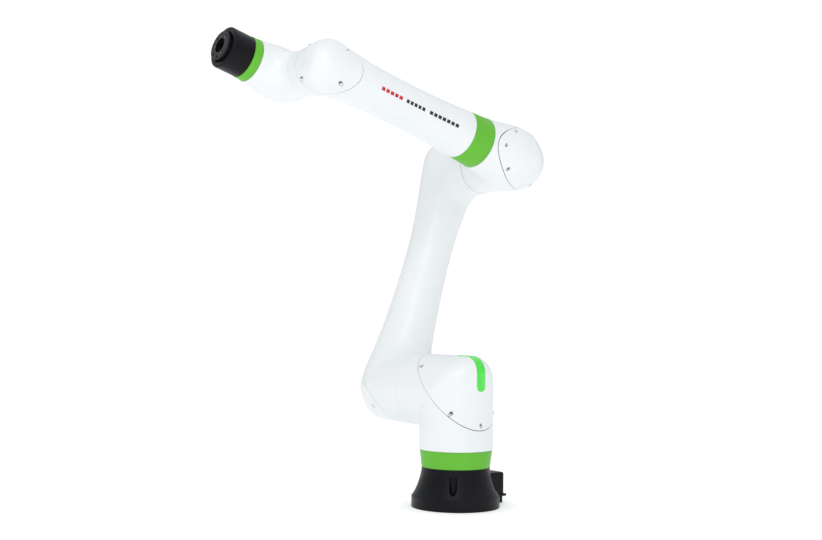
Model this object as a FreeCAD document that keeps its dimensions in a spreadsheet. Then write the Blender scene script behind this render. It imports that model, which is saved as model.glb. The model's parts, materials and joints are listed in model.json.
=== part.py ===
import FreeCAD, Part
import math
import os

from FreeCAD import Placement, Rotation, Vector

# Six-axis collaborative arm standing on its round base. Millimetres, Z up, the arm reaches +X,
# the connector box is on the -X side, and the upper arm runs on the -Y side of the base axis.
# Every link is drawn straight in a frame of its own and then placed at its rest angle.

doc = FreeCAD.newDocument("RobotArm")
sheet = doc.addObject("Spreadsheet::Sheet", "Sizes")

SIZES = {
    # joint layout
    "shoulder_height": 245,
    "upper_length": 540,
    "fore_length": 540,
    "wrist_offset": 150,
    "flange_reach": 166,
    "rim_reach": 158,
    "upper_tilt": -18.1,
    "fore_rise": 15.55,
    "wrist_rise": 16.1,
    "arm_plane": 218,
    "joint_gap": 0.6,
    "seam_gap": 0.5,
    "wall": 5,
    # base
    "foot_radius": 95,
    "foot_height": 23.4,
    "neck_radius": 73.3,
    "neck_height": 85.3,
    "base_top": 122.7,
    "band_radius": 78,
    "mount_circle": 160,
    "mount_hole": 9,
    # pipes and corners, outer radii
    "shoulder_radius": 79.3,
    "bulb_radius": 77,
    "waist_radius": 51.3,
    "crown_radius": 68,
    "elbow_radius": 72,
    "elbow_pipe": 64,
    "elbow_shift": 12,
    "elbow_neck": 58.5,
    "band_four_in": 56.7,
    "band_four_out": 53.5,
    "band_four_start": 120,
    "band_four_end": 172.7,
    "fore_radius": 46.5,
    "knuckle_radius": 61,
    "neck_five": 50,
    "wrist_radius": 56,
    "band_six": 45.6,
    "band_six_start": 90,
    "band_six_end": 108.5,
    "tool_radius": 44,
    # joint planes along the Y axis
    "plane_two": 112,
    "plane_three": 112,
    "plane_five": 75,
    # drive bore radii
    "drive_one": 66,
    "drive_two": 68,
    "drive_three": 54,
    "drive_four": 46,
    "drive_five": 42,
    "drive_six": 39,
    # screws
    "boss_radius": 6.5,
    "screw_shank": 2,
    "screw_head": 3.5,
    "head_depth": 4,
    # tool flange
    "tool_disc": 31.4,
    "tool_bore": 15.75,
    "tool_circle": 25,
    "tool_hole": 2.5,
    "dowel_hole": 3,
}
for row, (alias, value) in enumerate(SIZES.items(), start=1):
    sheet.set(f"A{row}", alias)
    sheet.set(f"B{row}", str(value))
    sheet.setAlias(f"B{row}", alias)
doc.recompute()


def size(alias):
    return float(sheet.get(alias))


def cells(rule):
    """Write the sheet's name before every alias in a rule."""
    words = []
    for word in rule.split():
        words.append("Sizes." + word if word in SIZES else word)
    return " ".join(words)


def add(kind, label, **rules):
    """A document object whose properties follow rules (text) or are set once (anything else)."""
    item = doc.addObject(kind, label)
    for name, rule in rules.items():
        if isinstance(rule, str):
            item.setExpression(name, cells(rule))
        else:
            setattr(item, name, rule)
    return item


def put(item, turn=None, x="0", y="0", z="0"):
    """Place an object: turn is a fixed rotation, x, y and z are rules."""
    item.Placement = Placement(Vector(0, 0, 0), turn or Rotation())
    for axis, rule in zip("xyz", (x, y, z)):
        item.setExpression(f"Placement.Base.{axis}", cells(rule))
    return item


TO_PLUS_Y = Rotation(Vector(1, 0, 0), -90)
TO_MINUS_Y = Rotation(Vector(1, 0, 0), 90)


def rod(label, radius, length, turn=None, x="0", y="0", z="0"):
    return put(add("Part::Cylinder", label, Radius=radius, Height=length), turn, x, y, z)


def taper(label, start, end, length, turn=None, x="0", y="0", z="0"):
    item = add("Part::Cone", label, Radius1=start, Radius2=end, Height=length)
    return put(item, turn, x, y, z)


def ball(label, radius, x="0", y="0", z="0"):
    return put(add("Part::Sphere", label, Radius=radius), None, x, y, z)


def fuse(label, items):
    return add("Part::MultiFuse", label, Shapes=list(items))


def cut(label, base, tool):
    return add("Part::Cut", label, Base=base, Tool=tool)


def common(label, first, second):
    return add("Part::MultiCommon", label, Shapes=[first, second])


def brick(label, x, y, z, length, width, height):
    return put(add("Part::Box", label, Length=length, Width=width, Height=height), None, x, y, z)


def ring(label, outer, inner, length, turn=None, x="0", y="0", z="0"):
    """A tube: the bore runs 1 mm past both ends of the rod."""
    body = rod(label + "_rod", outer, length)
    bore = rod(label + "_bore", inner, length + " + 2", z="-1")
    return put(cut(label, body, bore), turn, x, y, z)


def loft(label, stations, shrink="0"):
    """A round solid along Z through (height, radius) stations, every radius less the shrink."""
    circles = []
    for number, (height, radius) in enumerate(stations):
        circle = add("Part::Circle", f"{label}_{number}", Radius=f"{radius} - {shrink}")
        circles.append(put(circle, None, z=height))
    return add("Part::Loft", label, Sections=circles, Solid=True, Ruled=False)


# Each link frame: its origin in the XZ plane and the angle about +Y that turns its Z onto the link.
def frame(link):
    tilt = math.radians(size("upper_tilt"))
    rise = math.radians(size("fore_rise"))
    shoulder = Vector(0, 0, size("shoulder_height"))
    elbow = shoulder + Vector(math.sin(tilt), 0, math.cos(tilt)) * size("upper_length")
    knuckle = elbow + Vector(math.cos(rise), 0, math.sin(rise)) * size("fore_length")
    origin, angle = {
        "base": (Vector(), 0),
        "shoulder": (shoulder, 0),
        "upper": (shoulder, size("upper_tilt")),
        "elbow": (elbow, 90 - size("fore_rise")),
        "fore": (elbow, 90 - size("fore_rise")),
        "wrist": (knuckle, 90 - size("wrist_rise")),
        "tool": (knuckle, 90 - size("wrist_rise")),
    }[link]
    return Placement(origin, Rotation(Vector(0, 1, 0), angle))


NODES = []


def node(label, item, link, seat=None):
    """Name a finished piece and place it: its seat on the link, then the link's frame."""
    item.Label = label
    item.Placement = frame(link).multiply(seat or Placement())
    NODES.append(item)
    return item


def lean(angle):
    """The turn about X that takes Z to a direction in the YZ plane, angle degrees from +Y to +Z."""
    return Rotation(Vector(1, 0, 0), angle - 90)


class Seam:
    """An oblique cover seam across a corner, and the places of its screws on the seam plane.

    The normal leans from +Y towards +Z, centre is a point of the corner, offset runs along it."""

    def __init__(self, name, angle, centre, offset, places):
        self.name = name
        self.turn = lean(angle)
        self.centre = centre
        self.offset = offset
        self.places = places

    def spot(self, across, along, above):
        return self.centre + self.turn.multVec(Vector(across, along, self.offset + above))

    def beyond(self, label, gap):
        """The half space on the cover's side: a large box whose near face lies in the seam."""
        box = add("Part::Box", label, Length=400.0, Width=400.0, Height=200.0)
        box.Placement = Placement(self.spot(-200, -200, gap), self.turn)
        return box

    def columns(self, kind, radius, start, length):
        """Rods square to the seam, one at each screw place, from start above the plane."""
        rods = []
        for number, (across, along) in enumerate(self.places):
            item = add("Part::Cylinder", f"{self.name}_{kind}_{number}", Radius=radius, Height=length)
            item.Placement = Placement(self.spot(across, along, start), self.turn)
            rods.append(item)
        return rods


def split_shell(name, outer, inner, web, seams, holes=()):
    """A hollow link: shell, end web and screw bosses, divided at its seams into housing and covers."""
    bosses = []
    drills = list(holes)
    for seam in seams:
        bosses += seam.columns("boss", "boss_radius", -10, "70")
        drills += seam.columns("drill", "screw_shank + 0.1", -8, "120")
        drills += seam.columns("well", "screw_head + 0.4", 6, "100")
    shell = cut(name + "_shell", outer, inner)
    boss_set = common(name + "_bosses", fuse(name + "_boss_set", bosses), outer)
    whole = fuse(name + "_whole", [shell, boss_set] + web)
    bored = cut(name + "_bored", whole, fuse(name + "_drills", drills))
    housing = bored
    covers = []
    for number, seam in enumerate(seams):
        housing = cut(f"{name}_housing_{number}", housing, seam.beyond(f"{name}_keep_{number}", 0))
        lid = seam.beyond(f"{name}_lid_{number}", size("seam_gap"))
        covers.append(common(f"{name}_cover_{number}", bored, lid))
    return housing, covers


def cover_screws(label, seams, link):
    """Socket head screws, one solid each, standing in the wells of their covers."""
    screws = []
    for seam in seams:
        shanks = seam.columns("shank", "screw_shank", -7, "13.2")
        heads = seam.columns("head", "screw_head", 6, "head_depth")
        keys = seam.columns("key", "screw_head * 0.43", 8, "head_depth")
        for number, (shank, head, key) in enumerate(zip(shanks, heads, keys)):
            blank = fuse(f"{seam.name}_blank_{number}", [shank, head])
            screws.append(cut(f"{seam.name}_screw_{number}", blank, key))
    return node(label, add("Part::Compound", label + "_set", Links=screws), link)


def drive(number, bore, fixed, seat):
    """One joint drive in its bore: geared ring, motor stator, hollow rotor and output hub.

    Its own Z points from the fixed link to the moving one, and zero is the joint plane. The hub
    turns with the moving link, and like the rest it is placed from the fixed link's frame."""
    name = f"j{number}"
    fit = bore + " - 0.05"
    spline = ring(name + "_spline", fit, bore + " * 0.80", bore + " * 0.34", z=f"0 - {bore} * 0.36")
    stator = ring(name + "_stator", fit, bore + " * 0.62", bore + " * 0.50", z=f"0 - {bore} * 1.00")
    hub_rod = rod(name + "_hub_rod", bore + " * 0.78", bore + " * 0.33 + joint_gap", z=f"0 - {bore} * 0.33")
    hub_bore = rod(name + "_hub_bore", bore + " * 0.24", bore, z=f"0 - {bore} * 0.50")
    shaft = rod(name + "_shaft", bore + " * 0.20", bore + " * 1.06", z=f"0 - {bore} * 1.08")
    magnets = rod(name + "_magnets", bore + " * 0.60", bore + " * 0.46", z=f"0 - {bore} * 0.98")
    wave = rod(name + "_wave", bore + " * 0.74", bore + " * 0.10", z=f"0 - {bore} * 0.46")
    core = fuse(name + "_core", [shaft, magnets, wave])
    hollow = rod(name + "_hollow", bore + " * 0.14", bore + " * 1.5", z=f"0 - {bore} * 1.2")
    node(name + "_circular_spline", add("Part::Compound", name + "_spline_set", Links=[spline]), fixed, seat)
    node(name + "_motor_stator", add("Part::Compound", name + "_stator_set", Links=[stator]), fixed, seat)
    node(name + "_rotor_shaft", cut(name + "_rotor", core, hollow), fixed, seat)
    node(name + "_output_hub", cut(name + "_hub", hub_rod, hub_bore), fixed, seat)


half_gap = size("joint_gap") / 2
arm_y = -size("arm_plane")
wrist_y = -size("wrist_offset")
AHEAD = Rotation()

# ---- Base: flared casting on a round foot, band, connector box -------------------------------
FLARE = [("foot_height", "94.2"), ("38", "86"), ("55", "79.5"), ("70", "75.4"), ("neck_height", "neck_radius")]


def base_form(label):
    foot = rod(label + "_foot", "foot_radius", "foot_height")
    return fuse(label, [foot, loft(label + "_flare", FLARE)])


wells = []
for number in range(4):
    angle = math.radians(45 + 90 * number)
    spot = {"x": f"mount_circle * {math.cos(angle) / 2:.6f}", "y": f"mount_circle * {math.sin(angle) / 2:.6f}"}
    wells.append(rod(f"mount_bore_{number}", "mount_hole / 2", "40", z="-1", **spot))
    wells.append(rod(f"mount_well_{number}", "8.5", "60", z="12", **spot))
base_bore = rod("base_bore", "drive_one", "neck_height + 2", z="-1")
cable_gate = brick("cable_gate", "-90", "-15", "30", "40", "30", "24")
base_cuts = fuse("base_cuts", [base_bore, cable_gate] + wells)
node("base_casting", cut("base_casting_form", base_form("base_outer"), base_cuts), "base")

band_cone = taper("base_band_cone", "neck_radius", "band_radius", "base_top - neck_height", z="neck_height")
band_bore = rod("base_band_bore", "drive_one", "base_top", z="neck_height - 1")
node("base_band", cut("base_band_form", band_cone, band_bore), "base")

TO_PLUS_X = Rotation(Vector(0, 1, 0), 90)
box_body = brick("box_body", "-118", "-28", "20", "70", "56", "48")
box_ledge = brick("box_ledge", "-121", "-31", "16", "60", "62", "5")
box_foot = brick("box_foot", "-116", "-24", "1", "60", "48", "16")
box_round = doc.addObject("Part::Fillet", "box_round")
box_round.Base = box_body
doc.recompute()
outer = [
    number
    for number, edge in enumerate(box_body.Shape.Edges, start=1)
    if edge.BoundBox.ZMax > 67 and edge.BoundBox.XMin < -117
]
box_round.Edges = [(number, 5, 5) for number in outer]
box_room = brick("box_room", "-114", "-23", "24", "70", "46", "38")
box_ports = [
    brick("power_port", "-125", "-22.2", "28.8", "20", "24.4", "24.4"),
    rod("signal_port", "8.2", "20", TO_PLUS_X, x="-125", y="14", z="41"),
]
box_cuts = fuse("box_cuts", [box_room, base_form("box_seat")] + box_ports)
box_outer = fuse("box_outer", [box_round, box_ledge, box_foot])
node("connector_box", cut("connector_box_form", box_outer, box_cuts), "base")
plug_body = brick("plug_body", "-120", "-22", "29", "16", "24", "24")
plug_room = brick("plug_room", "-121", "-19", "32", "13", "18", "18")
node("power_socket", cut("power_socket_form", plug_body, plug_room), "base")
signal_tube = ring("signal_tube", "8", "5.5", "12", z="0")
signal_floor = rod("signal_floor", "5.5", "3", z="9")
signal_form = fuse("signal_form", [signal_tube, signal_floor])
node("signal_socket", signal_form, "base", Placement(Vector(-119.5, 14, 41), TO_PLUS_X))
drive(1, "drive_one", "base", Placement(Vector(0, 0, size("base_top")), AHEAD))

# ---- Shoulder: upright tube, ball corner and side tube ---------------------------------------
SHOULDER_FOOT = "base_top + joint_gap - shoulder_height"


def shoulder_form(label, shrink, side, floor):
    """The corner's solid form: radii less the shrink, floor raised above the joint plane."""
    radius = f"shoulder_radius - {shrink}"
    return fuse(
        label,
        [
            rod(label + "_post", radius, f"0 - ( {SHOULDER_FOOT} ) - {floor}", z=f"{SHOULDER_FOOT} + {floor}"),
            ball(label + "_ball", radius),
            rod(label + "_side", side, "plane_two - joint_gap / 2", TO_MINUS_Y),
        ],
    )


shoulder_seam = Seam(
    "shoulder_seam", 42.3, Vector(), 11.8, [(-52, -56), (52, -56), (-52, 60), (52, 60), (0, 92)]
)


def strip(label, radius, depth, half_width, low, high):
    """A band bent round the corner in the XZ plane's side: a sector of a tube about the X axis."""
    start = math.radians(low)
    first = Vector(0, math.cos(start), math.sin(start))
    second = Vector(0, -math.sin(start), math.cos(start))
    turn = Rotation(first, second, Vector(1, 0, 0), "XYZ")
    outer = add("Part::Cylinder", label + "_outer", Radius=radius, Height=f"2 * {half_width}")
    inner = add("Part::Cylinder", label + "_inner", Radius=depth, Height=f"2 * {half_width} + 2")
    outer.Angle = high - low
    outer.Placement = Placement(Vector(-float(half_width), 0, 0), turn)
    inner.Placement = Placement(Vector(-float(half_width) - 1, 0, 0), turn)
    return cut(label, outer, inner)


slot = strip("strip_slot", "90", "shoulder_radius - 3.2", "12.3", 3.7, 84.3)
shaft_way = rod("shoulder_way", "drive_one * 0.24", "20", z=f"{SHOULDER_FOOT} - 2")
shoulder_housing, shoulder_covers = split_shell(
    "shoulder",
    shoulder_form("shoulder_outer", "0", "shoulder_radius", "0"),
    shoulder_form("shoulder_inner", "wall", "drive_two", "8"),
    [],
    [shoulder_seam],
    [slot, shaft_way],
)
node("shoulder_housing", shoulder_housing, "shoulder")
node("shoulder_cover", shoulder_covers[0], "shoulder")
node("status_light_strip", strip("light_band", "shoulder_radius + 0.2", "shoulder_radius - 3.1", "12", 4, 84), "shoulder")
cover_screws("shoulder_cover_screws", [shoulder_seam], "shoulder")
drive(2, "drive_two", "shoulder", Placement(Vector(0, half_gap - size("plane_two"), 0), TO_MINUS_Y))

# ---- Upper arm: lower bulb, waisted tube, upper corner, beside the base axis -------------------
ARM = [
    ("0", "bulb_radius - 2"),
    ("75", "66"),
    ("150", "58.5"),
    ("220", "54.3"),
    ("300", "waist_radius"),
    ("370", "52"),
    ("450", "58"),
    ("upper_length", "crown_radius - 1"),
]


def upper_form(label, shrink, crown_side, floor):
    lower_side = f"arm_plane - plane_two - joint_gap / 2 - {floor}"
    upper_side = "arm_plane - plane_three - joint_gap / 2"
    tube = put(loft(label + "_tube", ARM, shrink), None, y="0 - arm_plane")
    return fuse(
        label,
        [
            ball(label + "_bulb", f"shoulder_radius - {shrink}", y="0 - arm_plane"),
            rod(label + "_low", f"shoulder_radius - {shrink}", lower_side, TO_PLUS_Y, y="0 - arm_plane"),
            tube,
            ball(label + "_crown", f"crown_radius - {shrink}", y="0 - arm_plane", z="upper_length"),
            rod(label + "_high", crown_side, upper_side, TO_PLUS_Y, y="0 - arm_plane", z="upper_length"),
        ],
    )


bulb_seam = Seam("bulb_seam", 225, Vector(0, arm_y, 0), 18, [(-48, -48), (48, -48), (-48, 48), (48, 48)])
crown_centre = Vector(0, arm_y, size("upper_length"))
crown_seam = Seam("crown_seam", 135, crown_centre, 16, [(-38, -38), (38, -38), (-38, 38), (38, 38)])
arm_way = rod("arm_way", "drive_two * 0.24", "20", TO_MINUS_Y, y="2 - plane_two")
upper_housing, upper_covers = split_shell(
    "upper",
    upper_form("upper_outer", "0", "elbow_pipe", "0"),
    upper_form("upper_inner", "wall", "drive_three", "8"),
    [],
    [bulb_seam, crown_seam],
    [arm_way],
)
node("upper_arm_housing", upper_housing, "upper")
node("upper_arm_lower_cover", upper_covers[0], "upper")
node("upper_arm_upper_cover", upper_covers[1], "upper")
cover_screws("upper_arm_cover_screws", [bulb_seam, crown_seam], "upper")
seat_three = Placement(Vector(0, -half_gap - size("plane_three"), size("upper_length")), TO_PLUS_Y)
drive(3, "drive_three", "upper", seat_three)

# ---- Elbow: side tube, ball corner, neck and band ---------------------------------------------
ELBOW_NECK = [("elbow_shift", "68"), ("60", "63"), ("95", "59.5"), ("band_four_start - 0.3", "elbow_neck")]


def elbow_form(label, shrink, floor):
    side = f"plane_three - joint_gap / 2 - {floor}"
    return fuse(
        label,
        [
            rod(label + "_side", f"elbow_pipe - {shrink}", side, TO_MINUS_Y),
            ball(label + "_ball", f"elbow_radius - {shrink}", z="elbow_shift"),
            loft(label + "_neck", ELBOW_NECK, shrink),
        ],
    )


elbow_seam = Seam("elbow_seam", -19.3, Vector(), 20.1, [(0, -92), (-50, -40), (50, -40), (-46, 22), (46, 22)])
elbow_way = rod("elbow_way", "drive_three * 0.24", "20", TO_PLUS_Y, y="0 - plane_three - 2")
neck_mouth = rod("neck_mouth", "elbow_neck - wall", "20", z="band_four_start - 12")
elbow_housing, elbow_covers = split_shell(
    "elbow", elbow_form("elbow_outer", "0", "0"), elbow_form("elbow_inner", "wall", "8"), [], [elbow_seam],
    [elbow_way, neck_mouth],
)
node("elbow_housing", elbow_housing, "elbow")
node("elbow_cover", elbow_covers[0], "elbow")
cover_screws("elbow_cover_screws", [elbow_seam], "elbow")
elbow_band_cone = taper(
    "elbow_band_cone", "band_four_in", "band_four_out", "band_four_end - band_four_start", z="band_four_start"
)
elbow_band_bore = rod("elbow_band_bore", "drive_four", "100", z="band_four_start - 1")
node("elbow_band", cut("elbow_band_form", elbow_band_cone, elbow_band_bore), "elbow")
seat_four = Placement(Vector(0, 0, size("band_four_end")), AHEAD)
drive(4, "drive_four", "elbow", seat_four)

# ---- Forearm: slim tube and knuckle ------------------------------------------------------------
FORE_START = "band_four_end + joint_gap"


def fore_form(label, shrink, neck, floor):
    stations = [
        (f"{FORE_START} + {floor}", "band_four_out"),
        ("230", "50"),
        ("330", "fore_radius"),
        ("420", "47"),
        ("480", "51"),
        ("fore_length", "57"),
    ]
    return fuse(
        label,
        [
            loft(label + "_tube", stations, shrink),
            ball(label + "_ball", f"knuckle_radius - {shrink}", z="fore_length"),
            taper(label + "_side", f"{neck} + 7", neck, "plane_five - joint_gap / 2", TO_MINUS_Y, z="fore_length"),
        ],
    )


knuckle_centre = Vector(0, 0, size("fore_length"))
knuckle_seam = Seam("knuckle_seam", 38.7, knuckle_centre, 17.2, [(-31, -38), (31, -38), (-31, 36), (31, 36)])
fore_way = rod("fore_way", "drive_four * 0.24", "20", z=f"{FORE_START} - 2")
knuckle_bore = rod("knuckle_bore", "drive_five", "plane_five", TO_MINUS_Y, z="fore_length")
fore_housing, fore_covers = split_shell(
    "fore", fore_form("fore_outer", "0", "neck_five", "0"), fore_form("fore_inner", "wall", "36", "8"), [],
    [knuckle_seam], [fore_way, knuckle_bore],
)
node("forearm_housing", fore_housing, "fore")
node("knuckle_cover", fore_covers[0], "fore")
cover_screws("knuckle_cover_screws", [knuckle_seam], "fore")
seat_five = Placement(Vector(0, half_gap - size("plane_five"), size("fore_length")), TO_MINUS_Y)
drive(5, "drive_five", "fore", seat_five)

# ---- Wrist: neck, ball corner, nose and band ---------------------------------------------------
NOSE = [("0", "55"), ("28", "55"), ("49", "53"), ("75", "48.6"), ("band_six_start - 0.3", "band_six + 0.7")]


def wrist_form(label, shrink, floor):
    start = f"wrist_offset - plane_five - joint_gap / 2 - {floor}"
    return fuse(
        label,
        [
            taper(label + "_side", f"54 - {shrink}", f"neck_five - {shrink}", start, TO_PLUS_Y, y="0 - wrist_offset"),
            ball(label + "_ball", f"wrist_radius - {shrink}", y="0 - wrist_offset"),
            put(loft(label + "_nose", NOSE, shrink), None, y="0 - wrist_offset"),
        ],
    )


wrist_seam = Seam("wrist_seam", 225, Vector(0, wrist_y, 0), 16, [(-31, -31), (31, -31), (-31, 31), (31, 31)])
wrist_way = rod("wrist_way", "drive_five * 0.24", "20", TO_MINUS_Y, y="2 - plane_five")
nose_mouth = rod("nose_mouth", "drive_six", "40", y="0 - wrist_offset", z="band_six_start - 30")
wrist_housing, wrist_covers = split_shell(
    "wrist", wrist_form("wrist_outer", "0", "0"), wrist_form("wrist_inner", "wall", "8"), [], [wrist_seam],
    [wrist_way, nose_mouth],
)
node("wrist_housing", wrist_housing, "wrist")
node("wrist_cover", wrist_covers[0], "wrist")
cover_screws("wrist_cover_screws", [wrist_seam], "wrist")
wrist_band = ring("wrist_band_ring", "band_six", "drive_six", "band_six_end - band_six_start", z="band_six_start")
wrist_band_set = add("Part::Compound", "wrist_band_set", Links=[wrist_band])
node("wrist_band", wrist_band_set, "wrist", Placement(Vector(0, wrist_y, 0), AHEAD))
seat_six = Placement(Vector(0, wrist_y, size("band_six_end")), AHEAD)
drive(6, "drive_six", "wrist", seat_six)

# ---- Tool end: dark housing and bolting flange --------------------------------------------------
TOOL_START = "band_six_end + joint_gap"
tool_seat = Placement(Vector(0, wrist_y, 0), AHEAD)
tool_rod = rod("tool_rod", "tool_radius", f"rim_reach - ( {TOOL_START} )", z=TOOL_START)
tool_room = rod("tool_room", "tool_disc + 2.4", "flange_reach", z=f"{TOOL_START} + 8")
tool_way = rod("tool_way", "drive_six * 0.24", "20", z=f"{TOOL_START} - 2")
tool_cut = cut("tool_cut", tool_rod, fuse("tool_cuts", [tool_room, tool_way]))
tool_round = doc.addObject("Part::Fillet", "tool_round")
tool_round.Base = tool_cut
doc.recompute()
rim = [
    number
    for number, edge in enumerate(tool_cut.Shape.Edges, start=1)
    if edge.Closed
    and abs(edge.BoundBox.ZMin - size("rim_reach")) < 0.01
    and edge.BoundBox.XLength > 2 * size("tool_radius") - 1
]
tool_round.Edges = [(number, 3, 3) for number in rim]
node("tool_housing", tool_round, "tool", tool_seat)

disc = rod("flange_disc", "tool_disc", "12", z="flange_reach - 12")
stem = rod("flange_stem", "24", f"flange_reach - 10 - ( {TOOL_START} + 8 )", z=f"{TOOL_START} + 8")
flange_cuts = [
    rod("flange_pilot", "tool_bore", "8", z="flange_reach - 6"),
    rod("flange_way", "drive_six * 0.24", "80", z=f"{TOOL_START}"),
    rod("flange_dowel", "dowel_hole", "8", x="tool_circle", z="flange_reach - 6"),
]
flange_screws = []
for number in range(4):
    angle = math.radians(45 + 90 * number)
    spot = {"x": f"tool_circle * {math.cos(angle):.6f}", "y": f"tool_circle * {math.sin(angle):.6f}"}
    flange_cuts.append(rod(f"flange_tap_{number}", "tool_hole", "14", z="flange_reach - 10", **spot))
    angle = math.radians(30 + 120 * number)
    if number < 3:
        spot = {"x": f"20 * {math.cos(angle):.6f}", "y": f"20 * {math.sin(angle):.6f}"}
        flange_cuts.append(rod(f"flange_well_{number}", "3.2", "10", z="flange_reach - 4", **spot))
        flange_cuts.append(rod(f"flange_drill_{number}", "1.6", "60", z=f"{TOOL_START}", **spot))
        flange_screws.append(
            fuse(
                f"flange_screw_{number}",
                [
                    rod(f"flange_head_{number}", "2.9", "2.8", z="flange_reach - 4", **spot),
                    rod(f"flange_shank_{number}", "1.5", "20", z="flange_reach - 23", **spot),
                ],
            )
        )
flange = cut("flange_form", fuse("flange_body", [disc, stem]), fuse("flange_cuts", flange_cuts))
node("tool_flange", flange, "tool", tool_seat)
flange_screw_set = add("Part::Compound", "flange_screw_set", Links=flange_screws)
node("tool_flange_screws", flange_screw_set, "tool", tool_seat)

doc.recompute()
faults = [item.Name for item in doc.Objects if "Invalid" in item.State or "Error" in item.State]
if faults:
    raise SystemExit(f"not recomputed: {faults}")
os.makedirs("parts", exist_ok=True)
for item in NODES:
    if item.Shape.isNull() or not item.Shape.isValid() or not item.Shape.Solids:
        raise SystemExit(f"bad shape: {item.Label}")
    item.Shape.exportStep(f"parts/{item.Label}.step")
print(len(NODES), "nodes")
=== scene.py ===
import json
import math

import bmesh
import bpy
import numpy as np
from mathutils import Matrix, Vector


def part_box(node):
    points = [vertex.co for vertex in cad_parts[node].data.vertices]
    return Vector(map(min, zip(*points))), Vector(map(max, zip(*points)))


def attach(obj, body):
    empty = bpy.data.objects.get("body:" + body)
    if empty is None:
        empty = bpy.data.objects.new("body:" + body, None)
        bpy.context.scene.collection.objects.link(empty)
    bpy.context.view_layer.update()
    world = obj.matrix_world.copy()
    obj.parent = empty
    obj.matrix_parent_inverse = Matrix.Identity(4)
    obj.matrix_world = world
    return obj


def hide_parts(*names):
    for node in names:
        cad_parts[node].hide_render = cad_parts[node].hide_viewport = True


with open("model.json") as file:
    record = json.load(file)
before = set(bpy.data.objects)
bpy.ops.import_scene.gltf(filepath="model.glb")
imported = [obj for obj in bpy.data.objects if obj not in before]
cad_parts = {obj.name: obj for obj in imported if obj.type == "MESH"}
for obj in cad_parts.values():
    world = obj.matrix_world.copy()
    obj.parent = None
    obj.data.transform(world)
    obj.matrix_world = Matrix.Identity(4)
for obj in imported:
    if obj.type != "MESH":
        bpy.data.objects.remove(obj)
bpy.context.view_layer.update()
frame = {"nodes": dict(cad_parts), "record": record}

# Lengths here are in millimetres, in the frame of one link: Z along the link, Y as in the row.
MM = 0.001
JOINTS = {j["name"]: j for j in frame["record"]["behaviour"]["joints"]}


def joint_at(name):
    return np.array(JOINTS[name]["pos_m"]) / MM


def joint_axis(name):
    return np.array(JOINTS[name]["axis"], float)


SHOULDER = np.array([0.0, 0.0, joint_at("j2_shoulder")[2]])
ELBOW = joint_at("j3_elbow") * [1, 0, 1]
KNUCKLE = joint_at("j5_wrist") * [1, 0, 1]
UPPER_LENGTH = float(np.linalg.norm(ELBOW - SHOULDER))
FORE_LENGTH = float(np.linalg.norm(KNUCKLE - ELBOW))
PLANE_TWO = -joint_at("j2_shoulder")[1]
PLANE_FIVE = -joint_at("j5_wrist")[1]
PLANE_FOUR = float(np.linalg.norm(joint_at("j4_forearm_roll") - ELBOW))
PLANE_SIX = float(np.linalg.norm(joint_at("j6_tool_roll") * [1, 0, 1] - KNUCKLE))
BASE_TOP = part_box("base_band")[1].z / MM
WRIST_Y = joint_at("j6_tool_roll")[1]
# The plane of the upper arm, beside the base axis.
ARM_Y = -218.0
# Half the gap at a joint plane, and the gap between a band and the shell next to it.
HALF_GAP = 0.2
BAND_GAP = 0.5
# Where the bands begin along the base, the forearm and the nose.
BASE_BAND_START = 85.5
ELBOW_BAND_START = 120.2
WRIST_BAND_START = 90.2
UP = [0, 0, 1]
DOWN = [0, 0, -1]
LEFT = [0, 1, 0]
RIGHT = [0, -1, 0]


def link(origin, along):
    """4x4 matrix of a link frame: its Z is along, its Y is the row's Y."""
    z = np.array(along, float) / np.linalg.norm(along)
    y = np.array([0.0, 1.0, 0.0])
    m = np.eye(4)
    m[:3, 0] = np.cross(y, z)
    m[:3, 1] = y
    m[:3, 2] = z
    m[:3, 3] = origin
    return m


LINKS = {
    "base": link([0, 0, 0], [0, 0, 1]),
    "shoulder": link(SHOULDER, [0, 0, 1]),
    "upper_arm": link(SHOULDER, ELBOW - SHOULDER),
    "elbow": link(ELBOW, joint_axis("j4_forearm_roll")),
    "forearm": link(ELBOW, joint_axis("j4_forearm_roll")),
    "wrist": link(KNUCKLE, joint_axis("j6_tool_roll")),
}


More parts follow.
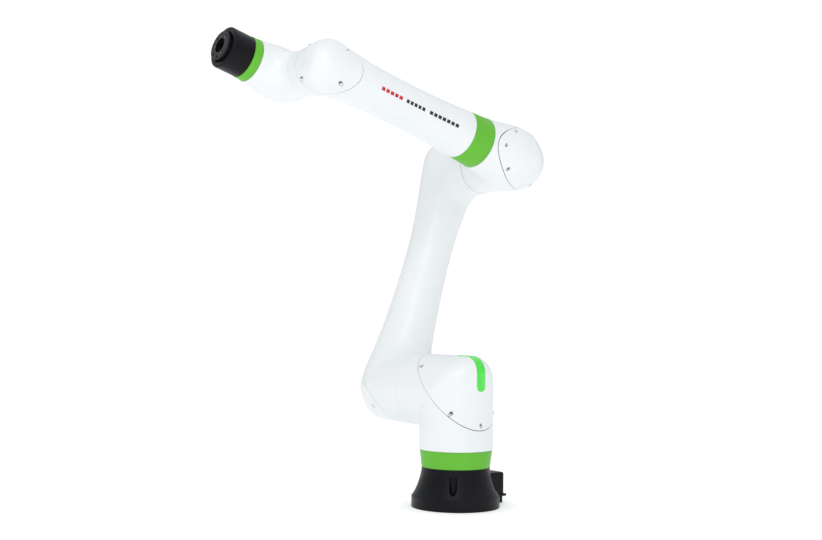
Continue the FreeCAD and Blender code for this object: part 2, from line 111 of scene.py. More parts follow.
# ---- Materials ---------------------------------------------------------------------------------
class Paint:
    """A node material with helpers that keep constant values on the shader's own sockets."""

    def __init__(self, name, **constants):
        self.material = bpy.data.materials.new(name)
        self.material.use_nodes = True
        self.tree = self.material.node_tree
        self.shader = self.tree.nodes["Principled BSDF"]
        for socket, value in constants.items():
            self.shader.inputs[socket.replace("_", " ")].default_value = value
        self.where = self.tree.nodes.new("ShaderNodeTexCoord").outputs["Object"]
        self.last_bump = None

    def noise(self, scale, detail=3.0, roughness=0.5, stretch=(1, 1, 1)):
        mapping = self.tree.nodes.new("ShaderNodeMapping")
        mapping.inputs["Scale"].default_value = stretch
        self.tree.links.new(self.where, mapping.inputs["Vector"])
        node = self.tree.nodes.new("ShaderNodeTexNoise")
        node.inputs["Scale"].default_value = scale
        node.inputs["Detail"].default_value = detail
        node.inputs["Roughness"].default_value = roughness
        self.tree.links.new(mapping.outputs["Vector"], node.inputs["Vector"])
        return node.outputs["Fac"]

    def ramp(self, value, stops):
        node = self.tree.nodes.new("ShaderNodeValToRGB")
        elements = node.color_ramp.elements
        while len(elements) < len(stops):
            elements.new(0.5)
        for element, (place, colour) in zip(elements, stops):
            element.position = place
            element.color = (*colour, 1.0) if isinstance(colour, tuple) else (colour,) * 3 + (1.0,)
        self.tree.links.new(value, node.inputs["Fac"])
        return node.outputs["Color"]

    def feed(self, socket, value):
        self.tree.links.new(value, self.shader.inputs[socket])

    def bump(self, height, strength, distance):
        node = self.tree.nodes.new("ShaderNodeBump")
        node.inputs["Strength"].default_value = strength
        node.inputs["Distance"].default_value = distance
        self.tree.links.new(height, node.inputs["Height"])
        if self.last_bump:
            self.tree.links.new(self.last_bump, node.inputs["Normal"])
        self.last_bump = node.outputs["Normal"]
        self.feed("Normal", self.last_bump)


def coat_paint(name, light, dark, roughness, grain, strength, coat, specular=0.5):
    """Painted or anodised metal: drifting tone, fine orange peel, patchy roughness."""
    paint = Paint(name, Coat_Weight=coat, Coat_Roughness=0.25, Specular_IOR_Level=specular)
    paint.feed("Base Color", paint.ramp(paint.noise(9, 5, 0.6), [(0.3, dark), (0.7, light)]))
    low, high = roughness
    paint.feed("Roughness", paint.ramp(paint.noise(38, 6, 0.65), [(0.3, low), (0.75, high)]))
    paint.bump(paint.noise(grain, 2, 0.5), strength, 0.0003)
    return paint.material


def metal_paint(name, light, dark, roughness, stretch):
    paint = Paint(name, Metallic=1.0)
    streaks = paint.noise(120, 4, 0.6, stretch)
    paint.feed("Base Color", paint.ramp(streaks, [(0.3, dark), (0.7, light)]))
    low, high = roughness
    paint.feed("Roughness", paint.ramp(streaks, [(0.25, low), (0.8, high)]))
    paint.bump(streaks, 0.15, 0.0002)
    return paint.material


WHITE = coat_paint(
    "white_coat", (0.84, 0.86, 0.87), (0.80, 0.825, 0.84), (0.36, 0.46), 1400, 0.12, 0.15
)
BLACK = coat_paint(
    "black_coat", (0.0075, 0.008, 0.010), (0.004, 0.004, 0.0055), (0.30, 0.45), 1800, 0.35, 0.0, 0.13
)
GREEN = coat_paint(
    "green_band", (0.138, 0.505, 0.04), (0.122, 0.46, 0.034), (0.38, 0.5), 1100, 0.15, 0.0, 0.2
)
RUBBER = coat_paint(
    "seal_rubber", (0.11, 0.115, 0.12), (0.07, 0.075, 0.08), (0.6, 0.8), 900, 0.3, 0.0
)
DARK_PLASTIC = coat_paint(
    "socket_plastic", (0.016, 0.016, 0.018), (0.009, 0.009, 0.01), (0.4, 0.6), 1300, 0.3, 0.0, 0.25
)
WINDING = coat_paint(
    "motor_lacquer", (0.42, 0.19, 0.07), (0.28, 0.11, 0.04), (0.3, 0.5), 700, 0.4, 0.4
)
STEEL = metal_paint(
    "ground_steel", (0.62, 0.63, 0.65), (0.48, 0.49, 0.51), (0.25, 0.42), (1, 1, 14)
)
SCREW = metal_paint(
    "plated_screw", (0.78, 0.79, 0.81), (0.60, 0.61, 0.63), (0.32, 0.48), (3, 3, 3)
)
ANODISED = metal_paint(
    "black_anodised", (0.042, 0.043, 0.048), (0.026, 0.027, 0.030), (0.3, 0.45), (1, 1, 9)
)


def lens_paint():
    paint = Paint("light_lens", Coat_Weight=0.4, Coat_Roughness=0.12, Emission_Strength=0.1)
    glow = paint.ramp(paint.noise(60, 3), [(0.3, (0.05, 0.62, 0.045)), (0.7, (0.075, 0.72, 0.065))])
    paint.feed("Base Color", glow)
    paint.feed("Emission Color", glow)
    paint.feed("Roughness", paint.ramp(paint.noise(90, 4), [(0.3, 0.22), (0.7, 0.34)]))
    paint.bump(paint.noise(500, 2), 0.1, 0.0002)
    return paint.material


LENS = lens_paint()
SLOT_PAINT = {
    "white_shell": WHITE,
    "black_casting": BLACK,
    "green_band": GREEN,
    "light_lens": LENS,
    "steel": STEEL,
    "motor": WINDING,
    "screw": SCREW,
    "flange": ANODISED,
    "socket": DARK_PLASTIC,
}


# ---- Pieces ------------------------------------------------------------------------------------
SHARP_ANGLE = math.radians(38)
BEVEL_ANGLE = math.radians(50)


def make_piece(name, verts, faces, body, slot, nodes, paint=None, bevel=0.0):
    """A mesh object from link-frame millimetres, riding on its body, standing for CAD nodes."""
    m = LINKS[body]
    verts = np.asarray(verts, float)
    world = (verts @ m[:3, :3].T + m[:3, 3]) * MM
    mesh = bpy.data.meshes.new(name)
    mesh.from_pydata(world.tolist(), [], [list(map(int, f)) for f in faces])
    mesh.validate()
    bm = bmesh.new()
    bm.from_mesh(mesh)
    bmesh.ops.recalc_face_normals(bm, faces=bm.faces)
    bm.to_mesh(mesh)
    bm.free()
    mesh.shade_smooth()
    mesh.set_sharp_from_angle(angle=SHARP_ANGLE)
    piece = bpy.data.objects.new(name, mesh)
    bpy.context.scene.collection.objects.link(piece)
    mesh.materials.append(paint or SLOT_PAINT[slot])
    if bevel:
        edge = piece.modifiers.new("edge", "BEVEL")
        edge.width = bevel * MM
        edge.segments = 2
        edge.limit_method = "ANGLE"
        edge.angle_limit = BEVEL_ANGLE
    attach(piece, body)
    if nodes:
        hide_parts(*nodes)
    return piece


def spin(profile, count=144):
    """Vertices and faces of a closed (radius, height) profile spun about Z."""
    profile = np.array(profile, float)
    angles = np.linspace(0, 2 * np.pi, count, endpoint=False)
    ring = np.stack([np.cos(angles), np.sin(angles)], 1)
    verts = [[r * c, r * s, h] for c, s in ring for r, h in profile]
    n = len(profile)
    faces = []
    for i in range(count):
        a, b = i * n, (i + 1) % count * n
        faces += [[a + j, b + j, b + (j + 1) % n, a + (j + 1) % n] for j in range(n)]
    return np.array(verts), faces


def rounded(profile, radius, steps=4):
    """A closed profile with every corner rounded, by quadratic arcs."""
    points = np.array(profile, float)
    out = []
    for i, corner in enumerate(points):
        before, after = points[i - 1], points[(i + 1) % len(points)]
        into = (before - corner) / np.linalg.norm(before - corner)
        away = (after - corner) / np.linalg.norm(after - corner)
        reach = min(radius, np.linalg.norm(before - corner) * 0.45, np.linalg.norm(after - corner) * 0.45)
        start, end = corner + into * reach, corner + away * reach
        for t in np.linspace(0, 1, steps):
            out.append((1 - t) ** 2 * start + 2 * t * (1 - t) * corner + t * t * end)
    return out


# ---- Smooth shells from distance fields ----------------------------------------------------------
class Limb:
    """A round limb on a straight axis, whose radius runs through (distance, radius) stations."""

    def __init__(self, start, along, stations):
        self.start = np.array(start, float)
        self.along = np.array(along, float)
        places, radii = np.array(stations, float).T
        self.fine = np.linspace(places[0], places[-1], 240)
        kernel = np.hanning(33)
        padded = np.pad(np.interp(self.fine, places, radii), 16, mode="edge")
        self.radii = np.convolve(padded, kernel / kernel.sum(), mode="valid")

    def past(self, p):
        return (p - self.start) @ self.along

    def field(self, p):
        run = self.past(p)
        away = p - self.start - run[:, None] * self.along
        return np.linalg.norm(away, axis=1) - np.interp(run, self.fine, self.radii)


def smoothstep(value):
    value = np.clip(value, 0, 1)
    return value * value * (3 - 2 * value)


def softer(a, b, k):
    """Smooth minimum of two fields, k wide."""
    k = np.maximum(k, 1e-3)
    h = np.clip(0.5 + 0.5 * (b - a) / k, 0, 1)
    return b * (1 - h) + a * h - k * h * (1 - h)


def corner(first, second, size, crotch, shoulder):
    """Field of two limbs at right angles that both start at one corner.

    The crotch between them is filleted, and outside it they meet in a mitre whose edge is rounded."""
    bisector = (first.along + second.along) / math.sqrt(2)

    def field(p):
        a, b = first.field(p), second.field(p)
        past_first, past_second = first.past(p) > 0, second.past(p) > 0
        lean_in = (p - first.start) @ bisector / size
        inner = softer(a, b, crotch * smoothstep((lean_in - 0.45) / 0.95))
        outer = -softer(-a, -b, shoulder * smoothstep((-lean_in - 0.15) / 1.2))
        one_limb = np.where(past_first, a, b)
        elsewhere = np.where(past_first | past_second, one_limb, outer)
        return np.where(past_first & past_second, inner, elsewhere)

    return field


CUBE = [(i, j, k) for i in (0, 1) for j in (0, 1) for k in (0, 1)]
EDGES = [(a, b) for a in CUBE for b in CUBE if sum(y != x for x, y in zip(a, b)) == 1 and a < b]


def surface_net(field, low, high, step):
    """Quads on the field's zero surface, with their vertices moved onto it."""
    sides = [np.arange(low[i], high[i] + step, step) for i in range(3)]
    grid = np.stack(np.meshgrid(*sides, indexing="ij"), -1)
    values = field(grid.reshape(-1, 3)).reshape(grid.shape[:3])
    inside = values < 0
    shape = tuple(n - 1 for n in inside.shape)
    count = np.zeros(shape, np.int8)
    for i, j, k in CUBE:
        count += inside[i : i + shape[0], j : j + shape[1], k : k + shape[2]]
    mixed = (count > 0) & (count < 8)
    cells = np.argwhere(mixed)
    ids = np.full(shape, -1)
    ids[mixed] = np.arange(len(cells))
    total, crossings = np.zeros((len(cells), 3)), np.zeros(len(cells))
    for a, b in EDGES:
        va = values[tuple((cells + a).T)]
        vb = values[tuple((cells + b).T)]
        cross = (va < 0) != (vb < 0)
        share = np.where(cross, va / np.where(cross, va - vb, 1), 0)
        total[cross] += (cells + a + share[:, None] * (np.array(b) - a))[cross]
        crossings += cross
    verts = np.array(low) + step * total / crossings[:, None]
    quads = []
    for axis in range(3):
        u, v = [i for i in range(3) if i != axis]
        one = np.take(inside, range(0, inside.shape[axis] - 1), axis)
        two = np.take(inside, range(1, inside.shape[axis]), axis)
        spots = np.argwhere(one != two)
        across, down = spots[:, u], spots[:, v]
        spots = spots[(across > 0) & (down > 0) & (across < shape[u]) & (down < shape[v])]
        du, dv = np.eye(3, dtype=int)[u], np.eye(3, dtype=int)[v]
        loop = np.stack([ids[tuple((spots - off).T)] for off in (du * 0, du, du + dv, dv)], 1)
        outward = one[tuple(spots.T)] == (axis != 1)
        quads.append(np.where(outward[:, None], loop, loop[:, ::-1]))
    quads = np.concatenate(quads)
    for _ in range(3):
        verts = onto(field, relaxed(verts, quads))
    return onto(field, verts), quads


def slope(field, p):
    """The field's gradient, by central differences."""
    parts = []
    for axis in np.eye(3) * 0.5:
        parts.append(field(p + axis) - field(p - axis))
    return np.stack(parts, 1)


def onto(field, p):
    g = slope(field, p)
    return p - g * (field(p) / np.maximum((g * g).sum(1), 1e-9))[:, None]


def relaxed(verts, quads):
    """Every vertex half way to the middle of its neighbours."""
    total, count = np.zeros_like(verts), np.zeros(len(verts))
    for i in range(4):
        a, b = quads[:, i], quads[:, (i + 1) % 4]
        np.add.at(total, a, verts[b])
        np.add.at(total, b, verts[a])
        np.add.at(count, a, 1)
        np.add.at(count, b, 1)
    return 0.5 * verts + 0.5 * total / count[:, None]


def sliced(verts, faces, cuts):
    """The part of an open mesh on the inner side of every (point, outward normal) plane."""
    bm = bmesh.new()
    made = [bm.verts.new(v) for v in verts]
    for face in faces:
        bm.faces.new([made[i] for i in face])
    for point, normal in cuts:
        bmesh.ops.bisect_plane(
            bm,
            geom=bm.verts[:] + bm.edges[:] + bm.faces[:],
            dist=0.02,
            plane_co=point,
            plane_no=normal,
            clear_outer=True,
        )
    bmesh.ops.dissolve_degenerate(bm, dist=0.15, edges=bm.edges[:])
    bm.verts.index_update()
    out = np.array([v.co[:] for v in bm.verts]), [[v.index for v in f.verts] for f in bm.faces]
    bm.free()
    return out


def thickened(field, verts, faces, outer, inner):
    """A closed shell between two depths under the surface."""
    g = slope(field, verts)
    normal = g / np.linalg.norm(g, axis=1)[:, None]
    n = len(verts)
    edges = {}
    for face in faces:
        for a, b in zip(face, face[1:] + face[:1]):
            edges[(a, b)] = True
    rim = [(a, b) for a, b in edges if (b, a) not in edges]
    both = np.concatenate([verts - normal * outer, verts - normal * inner])
    inside = [[n + i for i in reversed(face)] for face in faces]
    sides = [[b, a, n + a, n + b] for a, b in rim]
    return both, list(faces) + inside + sides


SHELL = 3.4
SEAM_HALF = 0.55
# How far a shell's grid runs past the plane that it is cut at, and the grid's step.
END = 6.0
GRID = 3.0
# Seals run this far to each side of a seam, under the shell.
SEAL_BAND = 4.0
SEAL_DEPTHS = (SHELL + 0.1, SHELL + 1.6)
# Wells in the covers, and the screws that stand in them.
WELL_RADIUS = 4.3
WELL_DEPTH = 6.0
WELL_CUT = 60.0
CUP_WALL = 0.5
SCREW_RADIUS = 3.5
SCREW_HEIGHT = 4.0


class Seam:
    """An oblique cover seam: its normal leans from +Y towards +Z."""

    def __init__(self, angle, centre, offset, places):
        a = math.radians(angle)
        self.normal = np.array([0, math.cos(a), math.sin(a)])
        self.side = np.array([0, math.sin(a), -math.cos(a)])
        self.point = np.array(centre, float) + self.normal * offset
        self.places = places

    def plane(self, shift, sign):
        return self.point + self.normal * shift, self.normal * sign

    def spot(self, place, above):
        return self.point + np.array([place[0], 0, 0]) + self.side * place[1] + self.normal * above


def prism(centre, axis, radius, length, sides):
    """A rod from centre along axis, in link millimetres."""
    turn = Vector(axis).to_track_quat("Z", "Y").to_matrix()
    angles = [2 * math.pi * i / sides for i in range(sides)]
    flat = [(radius * math.cos(a), radius * math.sin(a)) for a in angles]
    verts = [np.array(turn @ Vector((x, y, z))) + centre for z in (0, length) for x, y in flat]
    faces = [list(range(sides))[::-1], list(range(sides, 2 * sides))]
    faces += [[i, (i + 1) % sides, sides + (i + 1) % sides, sides + i] for i in range(sides)]
    return verts, faces


def joined(parts):
    verts, faces = [], []
    for part_verts, part_faces in parts:
        faces += [[i + len(verts) for i in face] for face in part_faces]
        verts += [list(v) for v in part_verts]
    return np.array(verts), faces


def carve(piece, cutters, body):
    """Cut closed rods out of a piece and keep the result as its mesh."""
    verts, faces = joined(cutters)
    m = LINKS[body]
    mesh = bpy.data.meshes.new("cutter")
    mesh.from_pydata(((verts @ m[:3, :3].T + m[:3, 3]) * MM).tolist(), [], faces)
    tool = bpy.data.objects.new("cutter", mesh)
    bpy.context.scene.collection.objects.link(tool)
    cut = piece.modifiers.new("wells", "BOOLEAN")
    cut.object = tool
    cut.operation = "DIFFERENCE"
    cut.solver = "EXACT"
    bpy.context.view_layer.update()
    graph = bpy.context.evaluated_depsgraph_get()
    done = bpy.data.meshes.new_from_object(piece.evaluated_get(graph))
    piece.modifiers.remove(cut)
    piece.data = done
    done.shade_smooth()
    done.set_sharp_from_angle(angle=SHARP_ANGLE)
    bpy.data.objects.remove(tool)


def surface_depth(field, seam, place):
    """How far above the seam plane a screw's axis leaves the cover."""
    steps = np.linspace(0, 120, 481)
    points = np.array([seam.spot(place, s) for s in steps])
    outside = np.nonzero(field(points) > 0)[0]
    return steps[outside[0]]


def screw_mesh(centre, axis, radius, height):
    """A socket head with a rounded rim and a hexagon recess."""
    turn = np.array(Vector(axis).to_track_quat("Z", "Y").to_matrix())
    rows = [(0.0, 0.0), (radius, 0.0), (radius, height - 0.7), (radius - 0.25, height - 0.2)]
    rows += [(radius - 0.8, height), (0.56 * radius, height)]
    rows += [(0.5 * radius, height - 0.25), (0.5 * radius, 1.0)]
    verts, faces = [], []
    sides = 24
    for number, (r, z) in enumerate(rows):
        for i in range(sides):
            a = 2 * math.pi * i / sides
            hexagon = math.cos(math.pi / 6) / math.cos((a % (math.pi / 3)) - math.pi / 6)
            reach = r * (hexagon * 1.12 if number >= 6 else 1.0)
            verts.append(turn @ np.array([reach * math.cos(a), reach * math.sin(a), z]) + centre)
    for row in range(1, len(rows) - 1):
        for i in range(sides):
            j = (i + 1) % sides
            faces.append([row * sides + i, row * sides + j, (row + 1) * sides + j, (row + 1) * sides + i])
    faces.append([sides + i for i in reversed(range(sides))])
    faces.append([(len(rows) - 1) * sides + i for i in range(sides)])
    return np.array(verts), faces


def cup_mesh(centre, axis, radius, depth):
    """The white well that a screw head stands in: a thin cup open towards the outside."""
    turn = np.array(Vector(axis).to_track_quat("Z", "Y").to_matrix())
    outside = radius + 0.9
    profile = [(0.01, -1.0), (outside, -1.0), (outside, depth), (radius, depth), (radius, 0), (0.01, 0)]
    verts, faces = spin(profile, 24)
    return verts @ turn.T + centre, faces


def shell_link(body, field, box, ends, seams, housing, covers, screws):
    """One white link: housing, covers with screw wells, seals in the seams, and the screws."""
    low, high = box
    verts, faces = surface_net(field, low, high, GRID)
    faces = [list(map(int, f)) for f in faces]
    planes = ends + [seam.plane(-SEAM_HALF, 1) for seam in seams]
    v, f = sliced(verts, faces, planes)
    make_piece(housing, *thickened(field, v, f, 0, SHELL), body, "white_shell", [housing], bevel=0.5)
    heads, cups = [], []
    for seam, cover in zip(seams, covers):
        v, f = sliced(verts, faces, [seam.plane(SEAM_HALF, -1)])
        lid = make_piece(cover, *thickened(field, v, f, 0, SHELL), body, "white_shell", [cover], bevel=0.5)
        wells = []
        for place in seam.places:
            leave = surface_depth(field, seam, place)
            floor = leave - WELL_DEPTH
            wells.append(prism(seam.spot(place, floor - 8), seam.normal, WELL_RADIUS, WELL_CUT, 32))
            cups.append(cup_mesh(seam.spot(place, floor), seam.normal, WELL_RADIUS, CUP_WALL))
            heads.append(screw_mesh(seam.spot(place, floor), seam.normal, SCREW_RADIUS, SCREW_HEIGHT))
        carve(lid, wells, body)
        v, f = sliced(verts, faces, [seam.plane(SEAL_BAND, 1), seam.plane(-SEAL_BAND, -1)] + ends)
        seal = cover.replace("_cover", "_seal")
        make_piece(seal, *thickened(field, v, f, *SEAL_DEPTHS), body, "black_casting", [], RUBBER)
    make_piece(screws, *joined(heads), body, "screw", [screws])
    make_piece(screws.replace("_screws", "_wells"), *joined(cups), body, "white_shell", [])


# Shoulder: post and side tube.
SHOULDER_RADIUS = 79.3
post = Limb([0, 0, 0], DOWN, [(0, SHOULDER_RADIUS), (130, 79.6)])
side = Limb([0, 0, 0], RIGHT, [(0, SHOULDER_RADIUS), (PLANE_TWO, SHOULDER_RADIUS)])
shoulder_field = corner(post, side, SHOULDER_RADIUS, 26, 42)
post_end = np.array([0, 0, BASE_TOP + 2 * HALF_GAP - SHOULDER[2]])
side_end = np.array([0, HALF_GAP - PLANE_TWO, 0])
shell_link(
    "shoulder",
    shoulder_field,
    ([-86, -PLANE_TWO - END, -130], [86, 86, 86]),
    [(post_end, DOWN), (side_end, RIGHT)],
    [Seam(47, [0, 0, 0], -2.5, [(-57, -74), (57, -74), (-60, 65), (60, 65), (0, 103)])],
    "shoulder_housing",
    ["shoulder_cover"],
    "shoulder_cover_screws",
)

# Upper arm: lower bulb, waisted tube and crown, all beside the base axis.
ARM_SPAN = -PLANE_TWO - ARM_Y
ARM = [(0, 75.5), (35, 73.5), (75, 66.5), (100, 63.3), (150, 58.5), (200, 55.2), (250, 52.7), (300, 51.4)]
ARM += [(350, 51.5), (400, 54), (450, 59), (500, 64.5), (540, 68.5)]
bulb_side = Limb([0, ARM_Y, 0], LEFT, [(0, 76.5), (50, 78), (ARM_SPAN, 79.3)])
tube = Limb([0, ARM_Y, 0], UP, ARM)
tube_back = Limb([0, ARM_Y, UPPER_LENGTH], DOWN, [(UPPER_LENGTH - t, r) for t, r in reversed(ARM)])
crown_side = Limb([0, ARM_Y, UPPER_LENGTH], LEFT, [(0, 68), (ARM_SPAN, 65)])
lower = corner(bulb_side, tube, 77, 40, 98)
upper = corner(crown_side, tube_back, 65, 40, 50)
low_end = np.array([0, -PLANE_TWO - HALF_GAP, 0])
shell_link(
    "upper_arm",
    lambda p: np.where(p[:, 2] < UPPER_LENGTH / 2, lower(p), upper(p)),
    ([-84, ARM_Y - 84, -84], [84, -PLANE_TWO + END, UPPER_LENGTH + 72]),
    [(low_end, LEFT)],
    [
        Seam(225, [0, ARM_Y, 0], 18, [(-48, -48), (48, -48), (-48, 48), (48, 48)]),
        Seam(135, [0, ARM_Y, UPPER_LENGTH], 16, [(-38, -38), (38, -38), (-38, 38), (38, 38)]),
    ],
    "upper_arm_housing",
    ["upper_arm_lower_cover", "upper_arm_upper_cover"],
    "upper_arm_cover_screws",
)

# Elbow: side tube and neck.
elbow_side = Limb([0, 0, 0], RIGHT, [(0, 65), (50, 64), (PLANE_TWO, 63.5)])
NECK = [(0, 72), (36, 72.5), (56, 69), (76, 64.5), (96, 60.8), (120, 58.2)]
neck = Limb([0, 0, 0], UP, NECK)
elbow_end = np.array([0, HALF_GAP - PLANE_TWO, 0])
neck_end = np.array([0, 0, ELBOW_BAND_START - BAND_GAP])
shell_link(
    "elbow",
    corner(elbow_side, neck, 68, 30, 118),
    ([-80, -PLANE_TWO - END, -80], [80, 82, 128]),
    [(neck_end, UP), (elbow_end, RIGHT)],
    [Seam(-19.3, [0, 0, 0], 20.1, [(0, -103), (-44, -73), (44, -73), (-46, 22), (46, 22)])],
    "elbow_housing",
    ["elbow_cover"],
    "elbow_cover_screws",
)

# Forearm: slim tube that swells into the knuckle.
FORE = [(172, 53.8), (215, 50.6), (280, 47.6), (335, 46.6), (400, 46.6)]
FORE += [(450, 48.2), (490, 51), (520, 54.5), (540, 57)]
fore_tube = Limb([0, 0, FORE_LENGTH], DOWN, [(FORE_LENGTH - t, r) for t, r in reversed(FORE)])
knuckle_side = Limb([0, 0, FORE_LENGTH], RIGHT, [(0, 57), (40, 51), (PLANE_FIVE, 46.8)])
fore_start = np.array([0, 0, PLANE_FOUR + 2 * HALF_GAP])
knuckle_end = np.array([0, HALF_GAP - PLANE_FIVE, 0])
shell_link(
    "forearm",
    corner(fore_tube, knuckle_side, 56, 30, 38),
    ([-66, -PLANE_FIVE - END, 168], [66, 66, 612]),
    [(fore_start, DOWN), (knuckle_end, RIGHT)],
    [Seam(42, [0, 0, FORE_LENGTH], 2.5, [(-37, -44), (37, -44), (-35, 38), (35, 38)])],
    "forearm_housing",
    ["knuckle_cover"],
    "knuckle_cover_screws",
)

# Wrist: neck and nose.
wrist_side = Limb([0, WRIST_Y, 0], LEFT, [(0, 51.5), (40, 48.4), (-WRIST_Y - PLANE_FIVE, 46.8)])
nose = Limb([0, WRIST_Y, 0], UP, [(0, 55), (28, 55.2), (49, 53.2), (72, 48.6), (90, 46.4)])
wrist_end = np.array([0, -PLANE_FIVE - HALF_GAP, 0])
nose_end = np.array([0, 0, WRIST_BAND_START - BAND_GAP])
shell_link(
    "wrist",
    corner(wrist_side, nose, 54, 26, 74),
    ([-62, WRIST_Y - 62, -62], [62, -PLANE_FIVE + END, 98]),
    [(nose_end, UP), (wrist_end, LEFT)],
    [Seam(225, [0, WRIST_Y, 0], 16, [(-31, -31), (31, -31), (-31, 31), (31, 31)])],
    "wrist_housing",
    ["wrist_cover"],
    "wrist_cover_screws",
)


# ---- Bands, light strip, printed marks ------------------------------------------------------------
BAND_EDGE = 0.7


def make_band(name, body, shift, heights, radii, bore):
    """A green ring whose outer radius runs from radii[0] to radii[1] between its two heights."""
    start, end = heights
    profile = [(bore, start), (radii[0], start), (radii[1], end), (bore, end)]
    verts, faces = spin(rounded(profile, BAND_EDGE))
    make_piece(name, verts + [0, shift, 0], faces, body, "green_band", [name])


make_band("base_band", "base", 0, (BASE_BAND_START, BASE_TOP - HALF_GAP), (73.5, 78.1), 66.2)
make_band("elbow_band", "elbow", 0, (ELBOW_BAND_START, PLANE_FOUR - HALF_GAP), (56.9, 53.7), 46.2)
make_band("wrist_band", "wrist", WRIST_Y, (WRIST_BAND_START, PLANE_SIX - BAND_GAP), (45.7, 44.9), 39.2)


def edged(top, bottom, rows, columns):
    """Faces of a thin patch: a grid of top points, the same grid below it, and the rim between."""
    n, count = columns + 1, len(top)
    faces = []
    for first in range(0, rows * n, n):
        for k in range(first, first + columns):
            faces.append([k, k + 1, k + n + 1, k + n])
    edge = {(a, b) for quad in faces for a, b in zip(quad, quad[1:] + quad[:1])}
    rim = sorted((a, b) for a, b in edge if (b, a) not in edge)
    under = [[i + count for i in reversed(quad)] for quad in faces]
    return np.concatenate([top, bottom]), faces + under + [[b, a, a + count, b + count] for a, b in rim]


STRIP_ANGLES = (3, 85)
STRIP_SAMPLES = 400
STRIP_ROWS = 80
STRIP_COLUMNS = 14
STRIP_HALF_WIDTH = 12.0
STRIP_LIFT = 0.6
STRIP_DEPTH = 2.4


def light_strip():
    """The lens: a capsule outline wrapped on the shoulder's corner, with a crowned face."""
    angles = np.radians(np.linspace(*STRIP_ANGLES, STRIP_SAMPLES))
    rays = np.stack([0 * angles, np.cos(angles), np.sin(angles)], 1)
    reach = np.full(STRIP_SAMPLES, SHOULDER_RADIUS)
    for _ in range(12):
        reach -= shoulder_field(rays * reach[:, None])
    centre = rays * reach[:, None]
    run = np.concatenate([[0], np.cumsum(np.linalg.norm(np.diff(centre, axis=0), axis=1))])
    top = []
    for along in np.linspace(0, run[-1], STRIP_ROWS + 1):
        inset = min(along, run[-1] - along)
        gap = max(STRIP_HALF_WIDTH - inset, 0)
        width = math.sqrt(max(STRIP_HALF_WIDTH**2 - gap**2, 0.04))
        middle = np.array([np.interp(along, run, centre[:, axis]) for axis in range(3)])
        for across in np.linspace(-1, 1, STRIP_COLUMNS + 1):
            rim = smoothstep(min((1 - abs(across)) * width, inset) / 1.5)
            top.append([across * width, middle[1], middle[2], rim])
    top = np.array(top)
    spots = onto(shoulder_field, onto(shoulder_field, top[:, :3]))
    outward = slope(shoulder_field, spots)
    outward /= np.linalg.norm(outward, axis=1)[:, None]
    face = spots + outward * (STRIP_LIFT * (0.15 + 0.85 * top[:, 3:]))
    return edged(face, spots - outward * STRIP_DEPTH, STRIP_ROWS, STRIP_COLUMNS)


strip = light_strip()
make_piece("status_light_strip", *strip, "shoulder", "light_lens", ["status_light_strip"])

MARK_ANGLE = math.radians(7)
MARK_HALF = 3.7
MARK_GAP = 3.2
MARK_CELLS = 8
MARK_START = 48.0


def printed_marks(name, start, end, blocks, paint):
    """A row of plain printed blocks along the forearm, on its left side."""
    facing = np.array([math.sin(MARK_ANGLE), math.cos(MARK_ANGLE), 0])
    across = np.array([math.cos(MARK_ANGLE), -math.sin(MARK_ANGLE), 0])
    pitch = (end - start) / blocks
    patches = []
    for block in range(blocks):
        first = start + pitch * block
        last = first + pitch - math.copysign(MARK_GAP, pitch)
        spots = []
        for t in np.linspace(first, last, MARK_CELLS + 1):
            for u in np.linspace(-MARK_HALF, MARK_HALF, MARK_CELLS + 1):
                spots.append(facing * MARK_START + across * u + [0, 0, t])
        spots = np.array(spots)
        for _ in range(6):
            spots -= facing * fore_tube.field(spots)[:, None]
        outward = slope(fore_tube.field, spots)
        patches.append(edged(spots + outward * 0.12, spots - outward * 0.3, MARK_CELLS, MARK_CELLS))
    make_piece(name, *joined(patches), "forearm", "black_casting", [], paint)


RED_INK = coat_paint("red_ink", (0.62, 0.02, 0.02), (0.52, 0.012, 0.012), (0.4, 0.55), 1500, 0.1, 0.0)
DARK_INK = coat_paint("dark_ink", (0.02, 0.02, 0.022), (0.012, 0.012, 0.013), (0.4, 0.55), 1500, 0.1, 0.0)
printed_marks("mark_red", 432, 372, 5, RED_INK)
printed_marks("mark_dark_one", 364, 310, 5, DARK_INK)
printed_marks("mark_dark_two", 300, 216, 7, DARK_INK)

# ---- CAD nodes that stay, with their materials ----------------------------------------------------
for part in frame["record"]["subparts"]:
    for material_slot in frame["nodes"][part["node"]].material_slots:
        material_slot.material = SLOT_PAINT[part["material_slot"]]

# ---- Stage, light and camera ----------------------------------------------------------------------
FLOOR = 14.0
floor_mesh = bpy.data.meshes.new("floor")
floor_corners = [(-FLOOR, -FLOOR, 0), (FLOOR, -FLOOR, 0), (FLOOR, FLOOR, 0), (-FLOOR, FLOOR, 0)]
floor_mesh.from_pydata(floor_corners, [], [[0, 1, 2, 3]])
floor = bpy.data.objects.new("floor", floor_mesh)
bpy.context.scene.collection.objects.link(floor)
floor.location.z = -0.0005
floor_paint = Paint("pale_floor", Roughness=0.9, Emission_Color=(1, 1, 1, 1), Emission_Strength=0.25)
floor_paint.feed("Base Color", floor_paint.ramp(floor_paint.noise(3, 2), [(0.3, 0.93), (0.7, 0.95)]))
floor_mesh.materials.append(floor_paint.material)

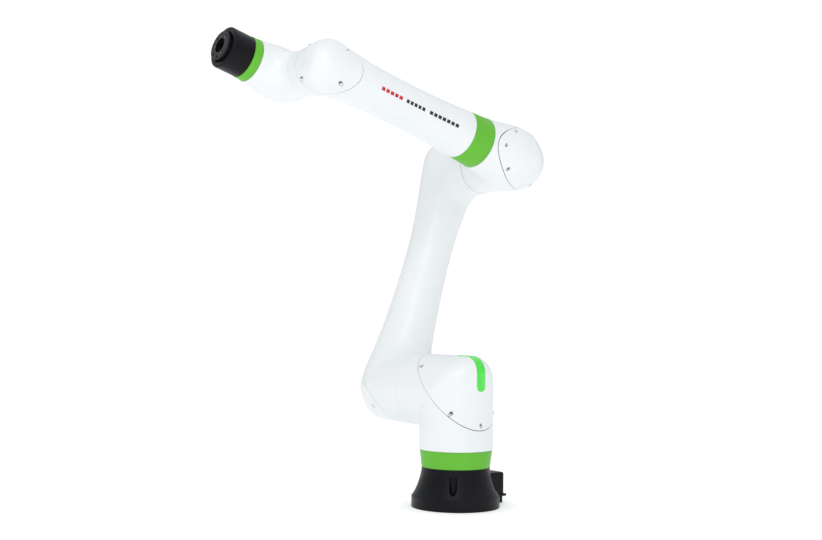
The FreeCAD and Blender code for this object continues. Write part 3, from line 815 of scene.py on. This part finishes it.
world = bpy.data.worlds.new("sky")
world.use_nodes = True
sky = world.node_tree
room = sky.nodes["Background"]
room.inputs["Color"].default_value = (0.96, 0.98, 1.0, 1)
room.inputs["Strength"].default_value = 0.69
backdrop = sky.nodes.new("ShaderNodeBackground")
backdrop.inputs["Color"].default_value = (1.0, 1.0, 1.0, 1)
backdrop.inputs["Strength"].default_value = 1.05
path = sky.nodes.new("ShaderNodeLightPath")
choice = sky.nodes.new("ShaderNodeMixShader")
sky.links.new(path.outputs["Is Camera Ray"], choice.inputs[0])
sky.links.new(room.outputs[0], choice.inputs[1])
sky.links.new(backdrop.outputs[0], choice.inputs[2])
sky.links.new(choice.outputs[0], sky.nodes["World Output"].inputs["Surface"])
bpy.context.scene.world = world
bpy.context.scene.view_settings.view_transform = "Standard"


def soft_light(name, place, target, power, width):
    lamp = bpy.data.lights.new(name, "AREA")
    lamp.energy = power
    lamp.shape = "DISK"
    lamp.size = width
    holder = bpy.data.objects.new(name, lamp)
    bpy.context.scene.collection.objects.link(holder)
    holder.location = place
    holder.rotation_euler = (Vector(target) - Vector(place)).to_track_quat("-Z", "Y").to_euler()


KEY_POWER = 38
KEY_WIDTH = 2.4
soft_light("key", (2.6, 2.4, 2.6), (0, 0, 0.5), KEY_POWER, KEY_WIDTH)
sun = bpy.data.lights.new("overhead", "SUN")
sun.energy = 0.5
sun.angle = math.radians(120)
overhead = bpy.data.objects.new("overhead", sun)
bpy.context.scene.collection.objects.link(overhead)

CAMERA_AT = (1.80360, 2.04964, 0.41799)
FORWARD = (-0.631966, -0.774304, 0.032749)
ROLL = 0.011506
FOCAL_PIXELS = 1260.02
FRAME_WIDTH = 822
camera_data = bpy.data.cameras.new("camera")
camera_data.sensor_fit = "HORIZONTAL"
camera_data.sensor_width = 36
camera_data.lens = 36 * FOCAL_PIXELS / FRAME_WIDTH
camera_data.clip_end = 60
camera = bpy.data.objects.new("camera", camera_data)
bpy.context.scene.collection.objects.link(camera)
forward = Vector(FORWARD).normalized()
right = forward.cross(Vector((0, 0, 1))).normalized()
up = right.cross(forward)
rolled_right = right * math.cos(ROLL) + up * math.sin(ROLL)
rolled_up = up * math.cos(ROLL) - right * math.sin(ROLL)
turn = Matrix((rolled_right, rolled_up, -forward)).transposed()
camera.matrix_world = Matrix.Translation(CAMERA_AT) @ turn.to_4x4()
bpy.context.scene.camera = camera
